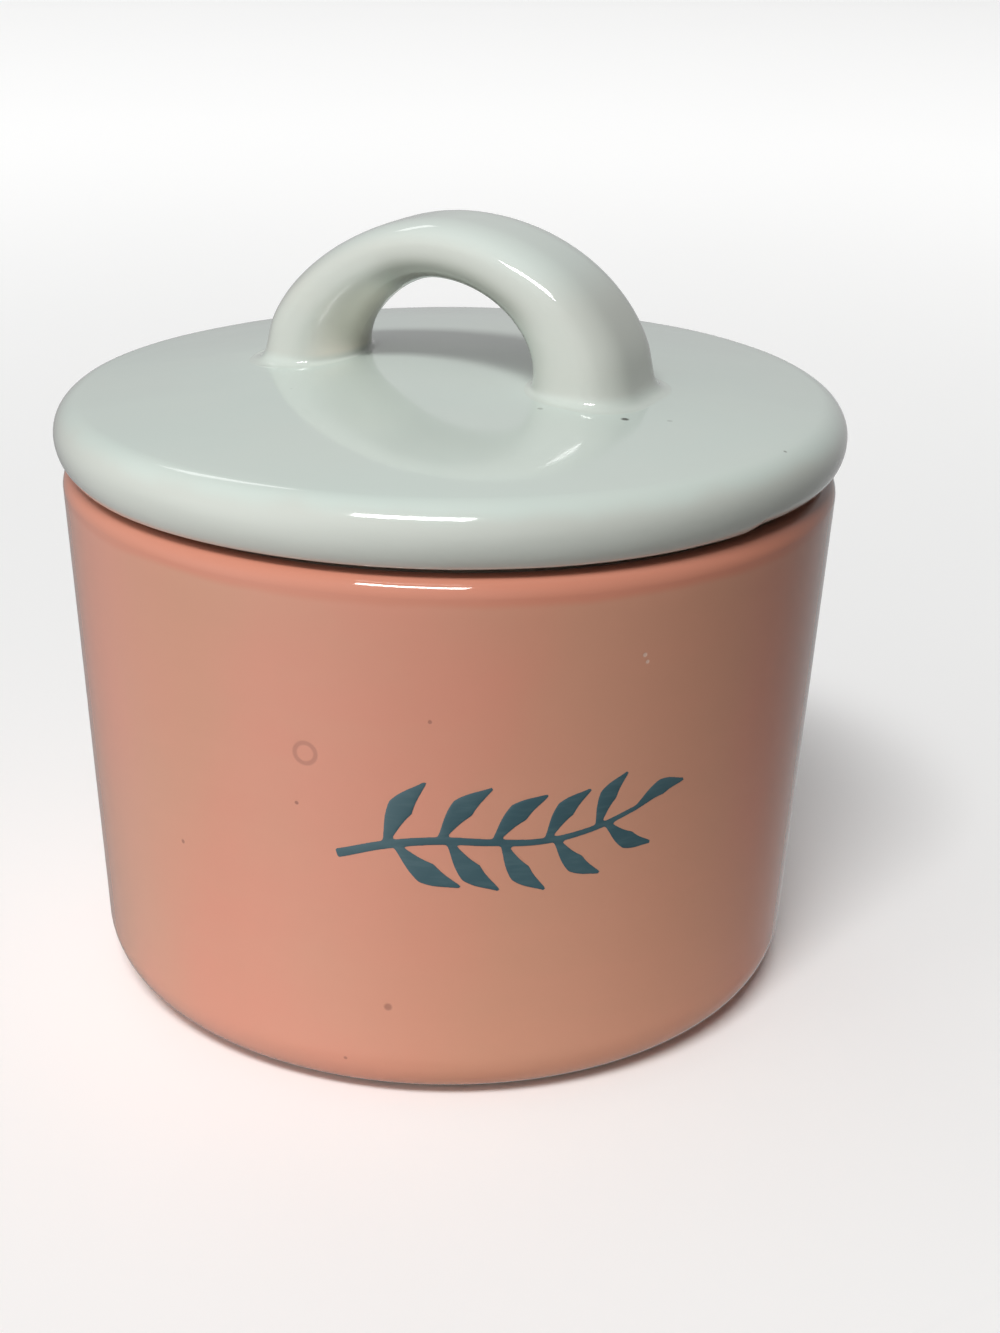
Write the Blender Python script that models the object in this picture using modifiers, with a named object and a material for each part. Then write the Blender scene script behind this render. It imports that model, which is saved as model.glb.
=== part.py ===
"""Lidded salt dish: a turned stoneware pot, a crowned lid with a locating flange, and an arch handle.

Sizes are in millimetres. The origin is the centre of the pot's foot on the table, +Z is up,
and the handle's arch runs along X.
"""
import math

import bmesh
import bpy

# Pot
POT_RIM_DIAMETER = 108.0
POT_BASE_DIAMETER = 101.0
POT_HEIGHT = 75.8
POT_WALL = 5.5
POT_FLOOR = 6.0
POT_BASE_CORNER = 8.2
POT_INSIDE_CORNER = 7.0
RIM_OUTER_ROUND = 3.2
RIM_INNER_ROUND = 1.0
FOOT_RING_WIDTH = 5.5
FOOT_RING_HEIGHT = 1.5
FOOT_RING_ROUND = 0.6

# Lid
LID_OVERHANG = 1.0
LID_EDGE_THICKNESS = 8.5
LID_TOP_ROUND = 4.4
LID_BOTTOM_ROUND = 3.4
LID_CROWN = 3.2
LID_RECESS = 2.5
LID_SEAT_STEP = 0.5
LID_SEAT_CLEARANCE = 0.3
FLANGE_DEPTH = 6.5
FLANGE_THICKNESS = 4.5
FLANGE_CLEARANCE = 0.8
FLANGE_ROUND = 1.2

# Handle
HANDLE_SPAN = 42.5
HANDLE_RISE = 17.2
HANDLE_TOP_THICKNESS = 8.8
HANDLE_FOOT_THICKNESS = 13.6
HANDLE_TOP_WIDTH = 18.5
HANDLE_FOOT_WIDTH = 18.0
HANDLE_FOOT_FILLET = 3.0
HANDLE_CLEARANCE = 0.3
HANDLE_SECTION_POWER = 2.3

# Mesh resolution
TURN_STEPS = 64
ROUND_STEPS = 5
CROWN_STEPS = 8
SECTION_SIDES = 20
ARCH_STEPS = 22

# Sizes that follow from those above, with each pair of roundings limited by the wall they share
RIM_RADIUS = POT_RIM_DIAMETER / 2
BASE_RADIUS = POT_BASE_DIAMETER / 2
MOUTH_RADIUS = RIM_RADIUS - POT_WALL
RIM_FIT = min(1.0, POT_WALL / (RIM_OUTER_ROUND + RIM_INNER_ROUND))
RIM_OUTER = RIM_OUTER_ROUND * RIM_FIT
RIM_INNER = RIM_INNER_ROUND * RIM_FIT
SEAT_LEVEL = POT_HEIGHT + LID_SEAT_CLEARANCE
SEAT_RADIUS = RIM_RADIUS - RIM_OUTER
LID_RADIUS = RIM_RADIUS + LID_OVERHANG
LID_FIT = min(1.0, LID_EDGE_THICKNESS / (LID_TOP_ROUND + LID_BOTTOM_ROUND))
LID_TOP_CORNER = LID_TOP_ROUND * LID_FIT
LID_BOTTOM_CORNER = LID_BOTTOM_ROUND * LID_FIT
LID_EDGE_TOP = LID_SEAT_STEP + LID_EDGE_THICKNESS
LID_CROWN_TOP = LID_EDGE_TOP + LID_CROWN
LID_CROWN_RADIUS = LID_RADIUS - LID_TOP_CORNER
FLANGE_RADIUS = MOUTH_RADIUS - FLANGE_CLEARANCE
FLANGE_CORNER = min(FLANGE_ROUND, FLANGE_THICKNESS / 2, FLANGE_DEPTH)
FOOT_CORNER = min(FOOT_RING_ROUND, FOOT_RING_WIDTH, FOOT_RING_HEIGHT)

MM = 0.001
MERGE_DISTANCE = 0.000001


def arc(centre_x, centre_z, radius, start, end):
    """Points (x, z) on a circular arc; the angles are in degrees from +X towards +Z."""
    points = []
    for step in range(ROUND_STEPS + 1):
        angle = math.radians(start + (end - start) * step / ROUND_STEPS)
        points.append((centre_x + radius * math.cos(angle), centre_z + radius * math.sin(angle)))
    return points


def wall_radius(height):
    """Outer radius of the pot's straight tapered wall at a height."""
    low = POT_BASE_CORNER
    high = POT_HEIGHT - RIM_OUTER
    return BASE_RADIUS + (RIM_RADIUS - BASE_RADIUS) * (height - low) / (high - low)


def crown_height(radius):
    """Height of the lid's crowned top above its seat at a distance from the axis."""
    return LID_CROWN_TOP - LID_CROWN * (radius / LID_CROWN_RADIUS) ** 2


def crown_points(raised):
    """Points of the lid's crowned top from the axis outwards, raised by an amount."""
    radii = [LID_CROWN_RADIUS * step / CROWN_STEPS for step in range(CROWN_STEPS + 1)]
    return [(radius, crown_height(radius) + raised) for radius in radii]


def pot_outline():
    """Outline of the pot: inside floor, inside wall, rim, outside wall, foot ring and recess."""
    inside_low = POT_FLOOR + POT_INSIDE_CORNER
    inside_radius = wall_radius(inside_low) - POT_WALL
    foot_outer = BASE_RADIUS - POT_BASE_CORNER
    foot_inner = foot_outer - FOOT_RING_WIDTH
    points = [(0.0, POT_FLOOR)]
    points += arc(inside_radius - POT_INSIDE_CORNER, inside_low, POT_INSIDE_CORNER, -90, 0)
    points += arc(MOUTH_RADIUS + RIM_INNER, POT_HEIGHT - RIM_INNER, RIM_INNER, 180, 90)
    points += arc(SEAT_RADIUS, POT_HEIGHT - RIM_OUTER, RIM_OUTER, 90, 0)
    points += arc(foot_outer, POT_BASE_CORNER, POT_BASE_CORNER, 0, -90)
    points += arc(foot_inner + FOOT_CORNER, FOOT_CORNER, FOOT_CORNER, -90, -180)
    points += [(foot_inner, FOOT_RING_HEIGHT), (0.0, FOOT_RING_HEIGHT)]
    return points


def lid_outline():
    """Outline of the lid, with z = 0 at its seat: crown, edge, underside, seat, flange and recess."""
    edge_centre = LID_RADIUS - LID_BOTTOM_CORNER
    flange_inner = FLANGE_RADIUS - FLANGE_THICKNESS
    flange_low = FLANGE_CORNER - FLANGE_DEPTH
    points = crown_points(0.0)
    points += arc(LID_CROWN_RADIUS, LID_EDGE_TOP - LID_TOP_CORNER, LID_TOP_CORNER, 90, 0)[1:]
    points += arc(edge_centre, LID_SEAT_STEP + LID_BOTTOM_CORNER, LID_BOTTOM_CORNER, 0, -90)
    points += [(SEAT_RADIUS, LID_SEAT_STEP), (SEAT_RADIUS, 0.0), (FLANGE_RADIUS, 0.0)]
    points += arc(FLANGE_RADIUS - FLANGE_CORNER, flange_low, FLANGE_CORNER, 0, -90)
    points += arc(flange_inner + FLANGE_CORNER, flange_low, FLANGE_CORNER, -90, -180)
    points += [(flange_inner, LID_RECESS), (0.0, LID_RECESS)]
    return points


def lid_top_outline():
    """Outline of the block that trims the handle's feet: the lid's top raised by the handle's clearance."""
    points = crown_points(HANDLE_CLEARANCE)
    points.append((LID_RADIUS, points[-1][1]))
    points += [(LID_RADIUS, 0.0), (0.0, 0.0)]
    return points


def foot_spread(height):
    """Outward spread of the foot's concave fillet at a height above the lid."""
    reach = min(max(HANDLE_FOOT_FILLET - height, 0.0), HANDLE_FOOT_FILLET)
    return HANDLE_FOOT_FILLET - math.sqrt(HANDLE_FOOT_FILLET ** 2 - reach ** 2)


def handle_angles():
    """Angles along the arch, closer together where the foot fillets curve."""
    fillet_angle = math.asin(min(1.0, HANDLE_FOOT_FILLET / HANDLE_RISE))
    left = [fillet_angle * step / ROUND_STEPS for step in range(ROUND_STEPS)]
    middle = [
        fillet_angle + (math.pi - 2 * fillet_angle) * step / ARCH_STEPS
        for step in range(ARCH_STEPS + 1)
    ]
    right = [math.pi - angle for angle in reversed(left)]
    return left + middle + right


def section_point(corner):
    """Point (thickness, width) of the strap's rounded section, each within -1 and 1."""
    angle = 2 * math.pi * corner / SECTION_SIDES
    power = 2 / HANDLE_SECTION_POWER
    across = math.copysign(abs(math.cos(angle)) ** power, math.cos(angle))
    along = math.copysign(abs(math.sin(angle)) ** power, math.sin(angle))
    return across, along


def handle_ring(angle, sink):
    """Points of the strap's section at an angle along the arch, sunk below the lid's top."""
    half_span = HANDLE_SPAN / 2
    foot_level = crown_height(half_span)
    centre_x = -half_span * math.cos(angle)
    rise = HANDLE_RISE * math.sin(angle)
    slope_x = -HANDLE_RISE * math.cos(angle)
    slope_z = half_span * math.sin(angle)
    length = math.hypot(slope_x, slope_z)
    to_top = math.sin(angle)
    spread = foot_spread(rise)
    thickness = HANDLE_FOOT_THICKNESS + (HANDLE_TOP_THICKNESS - HANDLE_FOOT_THICKNESS) * to_top
    width = HANDLE_FOOT_WIDTH + (HANDLE_TOP_WIDTH - HANDLE_FOOT_WIDTH) * to_top
    points = []
    for corner in range(SECTION_SIDES):
        across, along = section_point(corner)
        outward = across * (thickness / 2 + spread)
        x = centre_x + outward * slope_x / length
        y = along * (width / 2 + spread)
        z = foot_level + rise + outward * slope_z / length - sink
        points.append((x * MM, y * MM, z * MM))
    return points


def new_material(name, colour, roughness):
    """Glazed ceramic material."""
    material = bpy.data.materials.new(name)
    material.use_nodes = True
    shader = material.node_tree.nodes["Principled BSDF"]
    shader.inputs["Base Color"].default_value = (*colour, 1.0)
    shader.inputs["Roughness"].default_value = roughness
    shader.inputs["Metallic"].default_value = 0.0
    return material


def turned(name, outline, collection):
    """Object turned about Z from an outline that runs down its outer side."""
    mesh = bpy.data.meshes.new(name)
    points = [(x * MM, 0.0, z * MM) for x, z in outline]
    edges = [(index, index + 1) for index in range(len(points) - 1)]
    mesh.from_pydata(points, edges, [])
    piece = bpy.data.objects.new(name, mesh)
    collection.objects.link(piece)
    screw = piece.modifiers.new("Turn", "SCREW")
    screw.steps = TURN_STEPS
    screw.render_steps = TURN_STEPS
    screw.use_merge_vertices = True
    screw.merge_threshold = MERGE_DISTANCE
    screw.use_smooth_shade = True
    return piece


def arch_handle(name, collection, trim):
    """Strap handle drawn along the arch ring by ring, its feet trimmed to the lid's crown."""
    shape = bmesh.new()
    angles = handle_angles()
    root = LID_CROWN + LID_EDGE_THICKNESS / 2
    rings = [handle_ring(0.0, root)]
    rings += [handle_ring(angle, 0.0) for angle in angles]
    rings.append(handle_ring(math.pi, root))
    loops = []
    for index, ring in enumerate(rings):
        is_end = index in (0, len(rings) - 1)
        verts = bmesh.ops.create_circle(shape, cap_ends=is_end, segments=SECTION_SIDES)["verts"]
        for vert, place in zip(verts, ring):
            vert.co = place
        loops.append(list({edge for vert in verts for edge in vert.link_edges}))
    for lower, upper in zip(loops[:-1], loops[1:]):
        bmesh.ops.bridge_loops(shape, edges=lower + upper)
    bmesh.ops.recalc_face_normals(shape, faces=shape.faces[:])
    mesh = bpy.data.meshes.new(name)
    shape.to_mesh(mesh)
    shape.free()
    mesh.shade_smooth()
    handle = bpy.data.objects.new(name, mesh)
    collection.objects.link(handle)
    cut = handle.modifiers.new("Trim feet", "BOOLEAN")
    cut.operation = "DIFFERENCE"
    cut.solver = "EXACT"
    cut.object = trim
    return handle


def main():
    """Build the dish."""
    for old in list(bpy.data.objects):
        bpy.data.objects.remove(old, do_unlink=True)
    dish = bpy.data.collections.new("lidded_salt_dish")
    cutters = bpy.data.collections.new("cutters")
    bpy.context.scene.collection.children.link(dish)
    bpy.context.scene.collection.children.link(cutters)

    pot = turned("pot", pot_outline(), dish)
    pot.data.materials.append(new_material("pink_glaze", (0.62, 0.33, 0.31), 0.22))

    lid_lift = bpy.data.objects.new("lid_lift", None)
    lid_lift.location = (0.0, 0.0, SEAT_LEVEL * MM)
    dish.objects.link(lid_lift)

    lid = turned("lid", lid_outline(), dish)
    lid.data.materials.append(new_material("pale_glaze", (0.64, 0.68, 0.65), 0.16))
    lid.parent = lid_lift

    trim = turned("lid_top_trim", lid_top_outline(), cutters)
    trim.parent = lid_lift
    trim.hide_render = True
    trim.display_type = "WIRE"

    handle = arch_handle("lid_handle", dish, trim)
    handle.data.materials.append(new_material("handle_glaze", (0.64, 0.68, 0.65), 0.16))
    handle.parent = lid_lift


main()
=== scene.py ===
"""Looks of a lidded salt dish: a tapered pot in pink glaze, and a lid with an arch handle in pale glaze.

Sizes held by the classes are in millimetres, and MM turns them into metres where they meet Blender.
In the frame +Z is up, the handle's arch runs along X, and the dish is seen from the -Y side.
"""
import logging
import math
from dataclasses import dataclass, field
from enum import Enum
from functools import cached_property
from typing import Any, Callable, Iterable, Optional, Union

import bpy
from mathutils import Matrix, Vector


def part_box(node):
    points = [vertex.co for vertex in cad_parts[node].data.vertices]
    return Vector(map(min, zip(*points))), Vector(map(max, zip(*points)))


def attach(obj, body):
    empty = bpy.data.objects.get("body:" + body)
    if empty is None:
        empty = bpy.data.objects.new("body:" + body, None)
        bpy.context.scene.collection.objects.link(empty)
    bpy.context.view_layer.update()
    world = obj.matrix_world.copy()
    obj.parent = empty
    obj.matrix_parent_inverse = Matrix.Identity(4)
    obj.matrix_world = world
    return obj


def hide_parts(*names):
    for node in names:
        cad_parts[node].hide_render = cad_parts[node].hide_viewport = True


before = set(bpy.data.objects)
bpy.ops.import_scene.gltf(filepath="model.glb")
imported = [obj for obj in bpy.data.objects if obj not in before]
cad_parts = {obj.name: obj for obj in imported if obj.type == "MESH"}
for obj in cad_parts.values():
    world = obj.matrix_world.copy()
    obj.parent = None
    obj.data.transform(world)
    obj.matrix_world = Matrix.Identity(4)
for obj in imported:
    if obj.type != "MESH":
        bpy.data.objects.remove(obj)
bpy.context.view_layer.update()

MM = 0.001
LOG = logging.getLogger("salt_dish")

Colour = tuple[float, float, float]
Point = tuple[float, float, float]
Span = tuple[float, float]
Number = Union[int, float]
Operator = Callable[["Sock", "Term"], "Sock"]


class Body(Enum):
    """Bodies of the frame that pieces ride on."""

    POT = "pot"
    LID = "lid"


class Slot(Enum):
    """Material slots of the record."""

    PINK = "pink_glaze"
    PALE = "pale_glaze"


class Seed(Enum):
    """Fourth coordinates that pick the noise patterns."""

    FLOOR = 0.0
    CLOUD = 1.7
    DUST = 2.5
    SMEAR = 3.3
    FINE = 4.2
    WANDER = 5.5
    RIPPLE = 6.4
    GRIT = 7.7
    STREAK = 8.1


def unit(value: float) -> float:
    """Value held between 0 and 1."""
    return min(max(value, 0.0), 1.0)


def operators(operation: str) -> tuple[Operator, Operator]:
    """Make an operator for sockets and its reflected form.

    Args:
        operation: Operation of the Math node that the operator adds.

    Returns:
        The methods for a socket on the left and on the right of the sign.
    """

    def plain(self: "Sock", other: "Term") -> "Sock":
        """Result with this value on the left."""
        return self.graph.maths(operation, self, other)

    def reflected(self: "Sock", other: "Term") -> "Sock":
        """Result with this value on the right."""
        return self.graph.maths(operation, other, self)

    return plain, reflected


class Sock:
    """A node's output socket that takes part in Python arithmetic."""

    __add__, __radd__ = operators("ADD")
    __sub__, __rsub__ = operators("SUBTRACT")
    __mul__, __rmul__ = operators("MULTIPLY")
    __pow__, __rpow__ = operators("POWER")

    def __init__(self, graph: "Graph", out: bpy.types.NodeSocket) -> None:
        """Keep the graph that new nodes go to, and the output socket that is wrapped."""
        self.graph = graph
        self.out = out

    def __abs__(self) -> "Sock":
        """Size of this value without its sign."""
        return self.graph.maths("ABSOLUTE", self)

    def above(self, low: "Term", high: "Term") -> "Sock":
        """Mask that rises smoothly.

        Args:
            low: Value where the mask is 0.
            high: Value where the mask is 1.

        Returns:
            The mask, between 0 and 1.
        """
        return self.graph.node(
            "ShaderNodeMapRange",
            {"interpolation_type": "SMOOTHSTEP"},
            {"Value": self, "From Min": low, "From Max": high, "To Min": 0.0, "To Max": 1.0},
        )

    def below(self, low: "Term", high: "Term") -> "Sock":
        """Mask that falls smoothly from 1 at one value to 0 at another."""
        return 1.0 - self.above(low, high)

    def positive(self, soft: float) -> "Sock":
        """Mask of values over 0, whose edge is soft by a distance on both sides."""
        return self.above(-soft, soft)


Term = Union[Sock, Number]


class Graph:
    """Node tree of a material or a world, written as expressions.

    A Mix node has sockets for each type of data, and the numbers here are those of its colours.
    """

    MIX_FACTOR, MIX_FIRST, MIX_SECOND, MIX_RESULT = 0, 6, 7, 2
    SPECK_CORE = 0.5
    CHANCE_STEP = 0.01

    def __init__(self, tree: bpy.types.NodeTree) -> None:
        """Keep the tree that nodes are added to."""
        self.tree = tree

    def node(
        self,
        kind: str,
        settings: Optional[dict[str, Any]] = None,
        inputs: Optional[dict[Union[str, int], Any]] = None,
        output: Union[str, int] = 0,
    ) -> Sock:
        """Add a node, set it up and feed its sockets.

        Args:
            kind: Blender's name of the node's type.
            settings: Properties of the node, set before its sockets.
            inputs: Values or sockets for the node's inputs, by name or number.
            output: Name or number of the output that is returned.

        Returns:
            The chosen output.
        """
        made = self.tree.nodes.new(kind)
        for name, value in (settings or {}).items():
            setattr(made, name, value)
        for name, value in (inputs or {}).items():
            self.feed(made.inputs[name], value)
        return Sock(self, made.outputs[output])

    def feed(self, socket: bpy.types.NodeSocket, value: Any) -> None:
        """Link a socket to another, or set its value.

        Args:
            socket: Input socket.
            value: A wrapped socket, a number, a colour or a vector.
        """
        if isinstance(value, Sock):
            self.tree.links.new(value.out, socket)
        elif socket.type == "RGBA":
            socket.default_value = (*value, 1.0)
        else:
            socket.default_value = value

    def maths(self, operation: str, *terms: Term) -> Sock:
        """Result of a Math node on one or two values."""
        return self.node("ShaderNodeMath", {"operation": operation}, dict(enumerate(terms)))

    def mix(self, factor: Term, first: Any, second: Any) -> Sock:
        """Blend two colours.

        Args:
            factor: Share of the second colour.
            first: Colour or socket shown where the factor is 0.
            second: Colour or socket shown where the factor is 1.

        Returns:
            The blended colour.
        """
        values = {self.MIX_FACTOR: factor, self.MIX_FIRST: first, self.MIX_SECOND: second}
        return self.node("ShaderNodeMix", {"data_type": "RGBA"}, values, self.MIX_RESULT)

    @cached_property
    def place(self) -> Sock:
        """Position on the piece, in metres in the frame."""
        return self.node("ShaderNodeTexCoord", output="Object")

    def parts(self, vector: Sock) -> tuple[Sock, Sock, Sock]:
        """Split a vector.

        Args:
            vector: Socket of a vector or a colour.

        Returns:
            Its three values.
        """
        split = self.node("ShaderNodeSeparateXYZ", None, {"Vector": vector})
        outs = split.out.node.outputs
        return tuple(Sock(self, outs[index]) for index in range(3))

    def turned(self) -> tuple[Sock, Sock]:
        """Distance from the axis and height, in millimetres."""
        x, y, z = self.parts(self.place)
        return (x * x + y * y) ** 0.5 * (1.0 / MM), z * (1.0 / MM)

    def noise(self, size: float, seed: Seed, detail: float = 2.0, squeeze: float = 1.0) -> Sock:
        """Cloudy value between about 0 and 1.

        Args:
            size: Size of the clouds in millimetres.
            seed: Picks the pattern.
            detail: Number of finer layers.
            squeeze: How many times wider than high the clouds are.

        Returns:
            The cloudy value.
        """
        scale = (1.0, 1.0, squeeze)
        vector = self.node("ShaderNodeVectorMath", {"operation": "MULTIPLY"}, {0: self.place, 1: scale})
        return self.node(
            "ShaderNodeTexNoise",
            {"noise_dimensions": "4D"},
            {"Vector": vector, "W": seed.value, "Scale": 1.0 / (size * MM), "Detail": detail},
        )

    def wander(self, size: float) -> Sock:
        """Cloudy value between about -0.5 and 0.5, for the uneven lines between finishes."""
        return self.noise(size, Seed.WANDER) - 0.5

    def specks(self, spacing: float, radius: float, share: float, seed: Seed) -> Sock:
        """Scattered round specks.

        Args:
            spacing: Typical distance between places that may hold a speck, in millimetres.
            radius: Radius of a speck in millimetres.
            share: Share of the places that hold one.
            seed: Picks the scatter.

        Returns:
            Mask of the specks.
        """
        cells = self.node(
            "ShaderNodeTexVoronoi",
            {"voronoi_dimensions": "4D"},
            {"Vector": self.place, "W": seed.value, "Scale": 1.0 / (spacing * MM)},
        )
        chance = self.parts(Sock(self, cells.out.node.outputs["Color"]))[0]
        reach = radius / spacing
        filled = chance.below(share, share + self.CHANCE_STEP)
        return cells.below(self.SPECK_CORE * reach, reach) * filled

    def apart(self, centre: Point) -> Sock:
        """Distance in millimetres from a point given in millimetres."""
        ends = {0: self.place, 1: tuple(value * MM for value in centre)}
        return self.node("ShaderNodeVectorMath", {"operation": "DISTANCE"}, ends, "Value") * (1.0 / MM)


@dataclass(frozen=True)
class Mark:
    """A small fault in the glaze, with its place and sizes in millimetres."""

    LINE_CORE = 0.3
    SPOT_CORE = 0.45

    centre: Point
    radius: float
    strength: float = 1.0
    ring: float = 0.0
    tint: Optional[Colour] = None

    def mask(self, graph: Graph) -> Sock:
        """Mask of the mark.

        Args:
            graph: Graph that the nodes are added to.

        Returns:
            A filled spot, or a thin ring of the given radius where ring is its line's width.
        """
        far = graph.apart(self.centre)
        if self.ring:
            far = abs(far - self.radius)
            return far.below(self.LINE_CORE * self.ring, self.ring) * self.strength
        return far.below(self.SPOT_CORE * self.radius, self.radius) * self.strength


@dataclass(frozen=True)
class Gloss:
    """Shine and relief of a glaze, with sizes and depths in millimetres."""

    roughness: float = 0.03
    smear: float = 0.04
    smear_size: float = 15.0
    smear_mask: Span = (0.35, 0.75)
    specular: float = 0.45
    coat: float = 0.1
    coat_roughness: float = 0.03
    ripple: float = 0.007
    ripple_size: float = 7.0
    pit: float = 0.05
    bare_roughness: float = 0.7
    grit: float = 0.04
    grit_size: float = 0.5


@dataclass(frozen=True)
class Mottle:
    """Sizes in millimetres and strengths of a glaze's changes of colour."""

    cloud_size: float = 30.0
    cloud_squeeze: float = 0.55
    cloud_mask: Span = (0.36, 0.66)
    streak_size: float = 22.0
    streak_squeeze: float = 5.0
    streak_mask: Span = (0.45, 0.75)
    streak_share: float = 0.25
    fine_size: float = 6.0
    fine_mask: Span = (0.4, 0.8)
    fine_share: float = 0.18
    dust_spacing: float = 9.0
    dust_radius: float = 0.28
    dust_chance: float = 0.10
    dust_share: float = 0.45
    clay_mask: Span = (-0.3, 0.3)
    lining_mask: Span = (-0.2, 0.3)


@dataclass(frozen=True)
class Glaze:
    """A glaze on stoneware, with its colours in linear light."""

    name: str
    body: Colour
    cloud: Colour
    thin: Colour
    speck: Colour
    clay: Colour = (0.60, 0.52, 0.43)
    clay_dark: Colour = (0.51, 0.44, 0.365)
    lining: Colour = (0.66, 0.67, 0.62)
    lining_dark: Colour = (0.61, 0.62, 0.575)
    rim: Colour = (0.60, 0.60, 0.56)
    gloss: Gloss = Gloss()
    mottle: Mottle = Mottle()
    marks: tuple[Mark, ...] = ()

    def start(self, piece: bpy.types.Object) -> Graph:
        """Give a piece a new material, with nothing beside its shader yet.

        Args:
            piece: Object that wears the glaze alone.

        Returns:
            The material's graph.
        """
        material = bpy.data.materials.new(self.name)
        material.use_nodes = True
        piece.data.materials.clear()
        piece.data.materials.append(material)
        return Graph(material.node_tree)

    def colour(self, graph: Graph) -> Sock:
        """Colour of the glaze itself, with its clouds, specks and marks.

        Args:
            graph: Graph that the nodes are added to.

        Returns:
            The colour.
        """
        look = self.mottle
        broad = graph.noise(look.cloud_size, Seed.CLOUD, squeeze=look.cloud_squeeze)
        fine = graph.noise(look.fine_size, Seed.FINE, detail=3.0)
        streak = graph.noise(look.streak_size, Seed.STREAK, squeeze=look.streak_squeeze)
        tone = graph.mix(broad.above(*look.cloud_mask), self.body, self.cloud)
        tone = graph.mix(streak.above(*look.streak_mask) * look.streak_share, tone, self.thin)
        tone = graph.mix(fine.above(*look.fine_mask) * look.fine_share, tone, self.cloud)
        dust = graph.specks(look.dust_spacing, look.dust_radius, look.dust_chance, Seed.DUST)
        tone = graph.mix(dust * look.dust_share, tone, self.speck)
        for mark in self.marks:
            tone = graph.mix(mark.mask(graph), tone, mark.tint or self.speck)
        return tone

    def clay_colour(self, graph: Graph, wander: Sock) -> Sock:
        """Colour of the unglazed clay, clouded by a value round 0."""
        return graph.mix(wander.above(*self.mottle.clay_mask), self.clay, self.clay_dark)

    def lining_colour(self, graph: Graph, wander: Sock) -> Sock:
        """Colour of the lining, clouded by a value round 0."""
        return graph.mix(wander.above(*self.mottle.lining_mask), self.lining, self.lining_dark)

    def finish(self, graph: Graph, colour: Sock, bare: Optional[Sock] = None) -> None:
        """Feed the shader with the colour, the shine and the relief.

        Args:
            graph: Graph of the material.
            colour: Colour of the whole surface.
            bare: Mask of unglazed clay, where there is some.
        """
        look = self.gloss
        shader = graph.tree.nodes["Principled BSDF"]
        smear = graph.noise(look.smear_size, Seed.SMEAR, detail=4.0).above(*look.smear_mask)
        rough = look.roughness + smear * look.smear
        height = graph.noise(look.ripple_size, Seed.RIPPLE, detail=1.0) * (look.ripple * MM)
        for mark in self.marks:
            height = height - mark.mask(graph) * (look.pit * MM)
        if bare is None:
            shader.inputs["Coat Weight"].default_value = look.coat
        else:
            rough = rough + bare * (look.bare_roughness - rough)
            height = height + graph.noise(look.grit_size, Seed.GRIT) * bare * (look.grit * MM)
            graph.feed(shader.inputs["Coat Weight"], (1.0 - bare) * look.coat)
        normal = graph.node("ShaderNodeBump", None, {"Height": height, "Distance": 1.0})
        graph.feed(shader.inputs["Base Color"], colour)
        graph.feed(shader.inputs["Roughness"], rough)
        graph.feed(shader.inputs["Normal"], normal)
        shader.inputs["Coat Roughness"].default_value = look.coat_roughness
        shader.inputs["Specular IOR Level"].default_value = look.specular


@dataclass
class Outline:
    """Half section of a turned piece as (radius, height) points in millimetres."""

    SAME_POINT = 0.001

    points: list[Span] = field(default_factory=list)

    def to(self, radius: float, height: float, steps: int = 1) -> "Outline":
        """Draw a straight line to a point, or set the first point.

        Args:
            radius: Distance of the point from the axis.
            height: Height of the point.
            steps: Number of equal steps.

        Returns:
            The outline.
        """
        if not self.points:
            self.points.append((radius, height))
            return self
        first = Vector(self.points[-1])
        last = Vector((radius, height))
        self.points += [tuple(first.lerp(last, step / steps)) for step in range(1, steps + 1)]
        return self

    def arc(self, centre: Span, radius: float, start: float, end: float, steps: int) -> "Outline":
        """Draw a circular arc.

        Args:
            centre: Radius and height of the arc's centre.
            radius: Radius of the arc.
            start: First angle in degrees, from outwards towards up.
            end: Last angle in degrees.
            steps: Number of steps.

        Returns:
            The outline.
        """
        for step in range(steps + 1):
            angle = math.radians(start + (end - start) * step / steps)
            point = (centre[0] + radius * math.cos(angle), centre[1] + radius * math.sin(angle))
            if not self.points or (Vector(point) - Vector(self.points[-1])).length > self.SAME_POINT:
                self.points.append(point)
        return self


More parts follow.
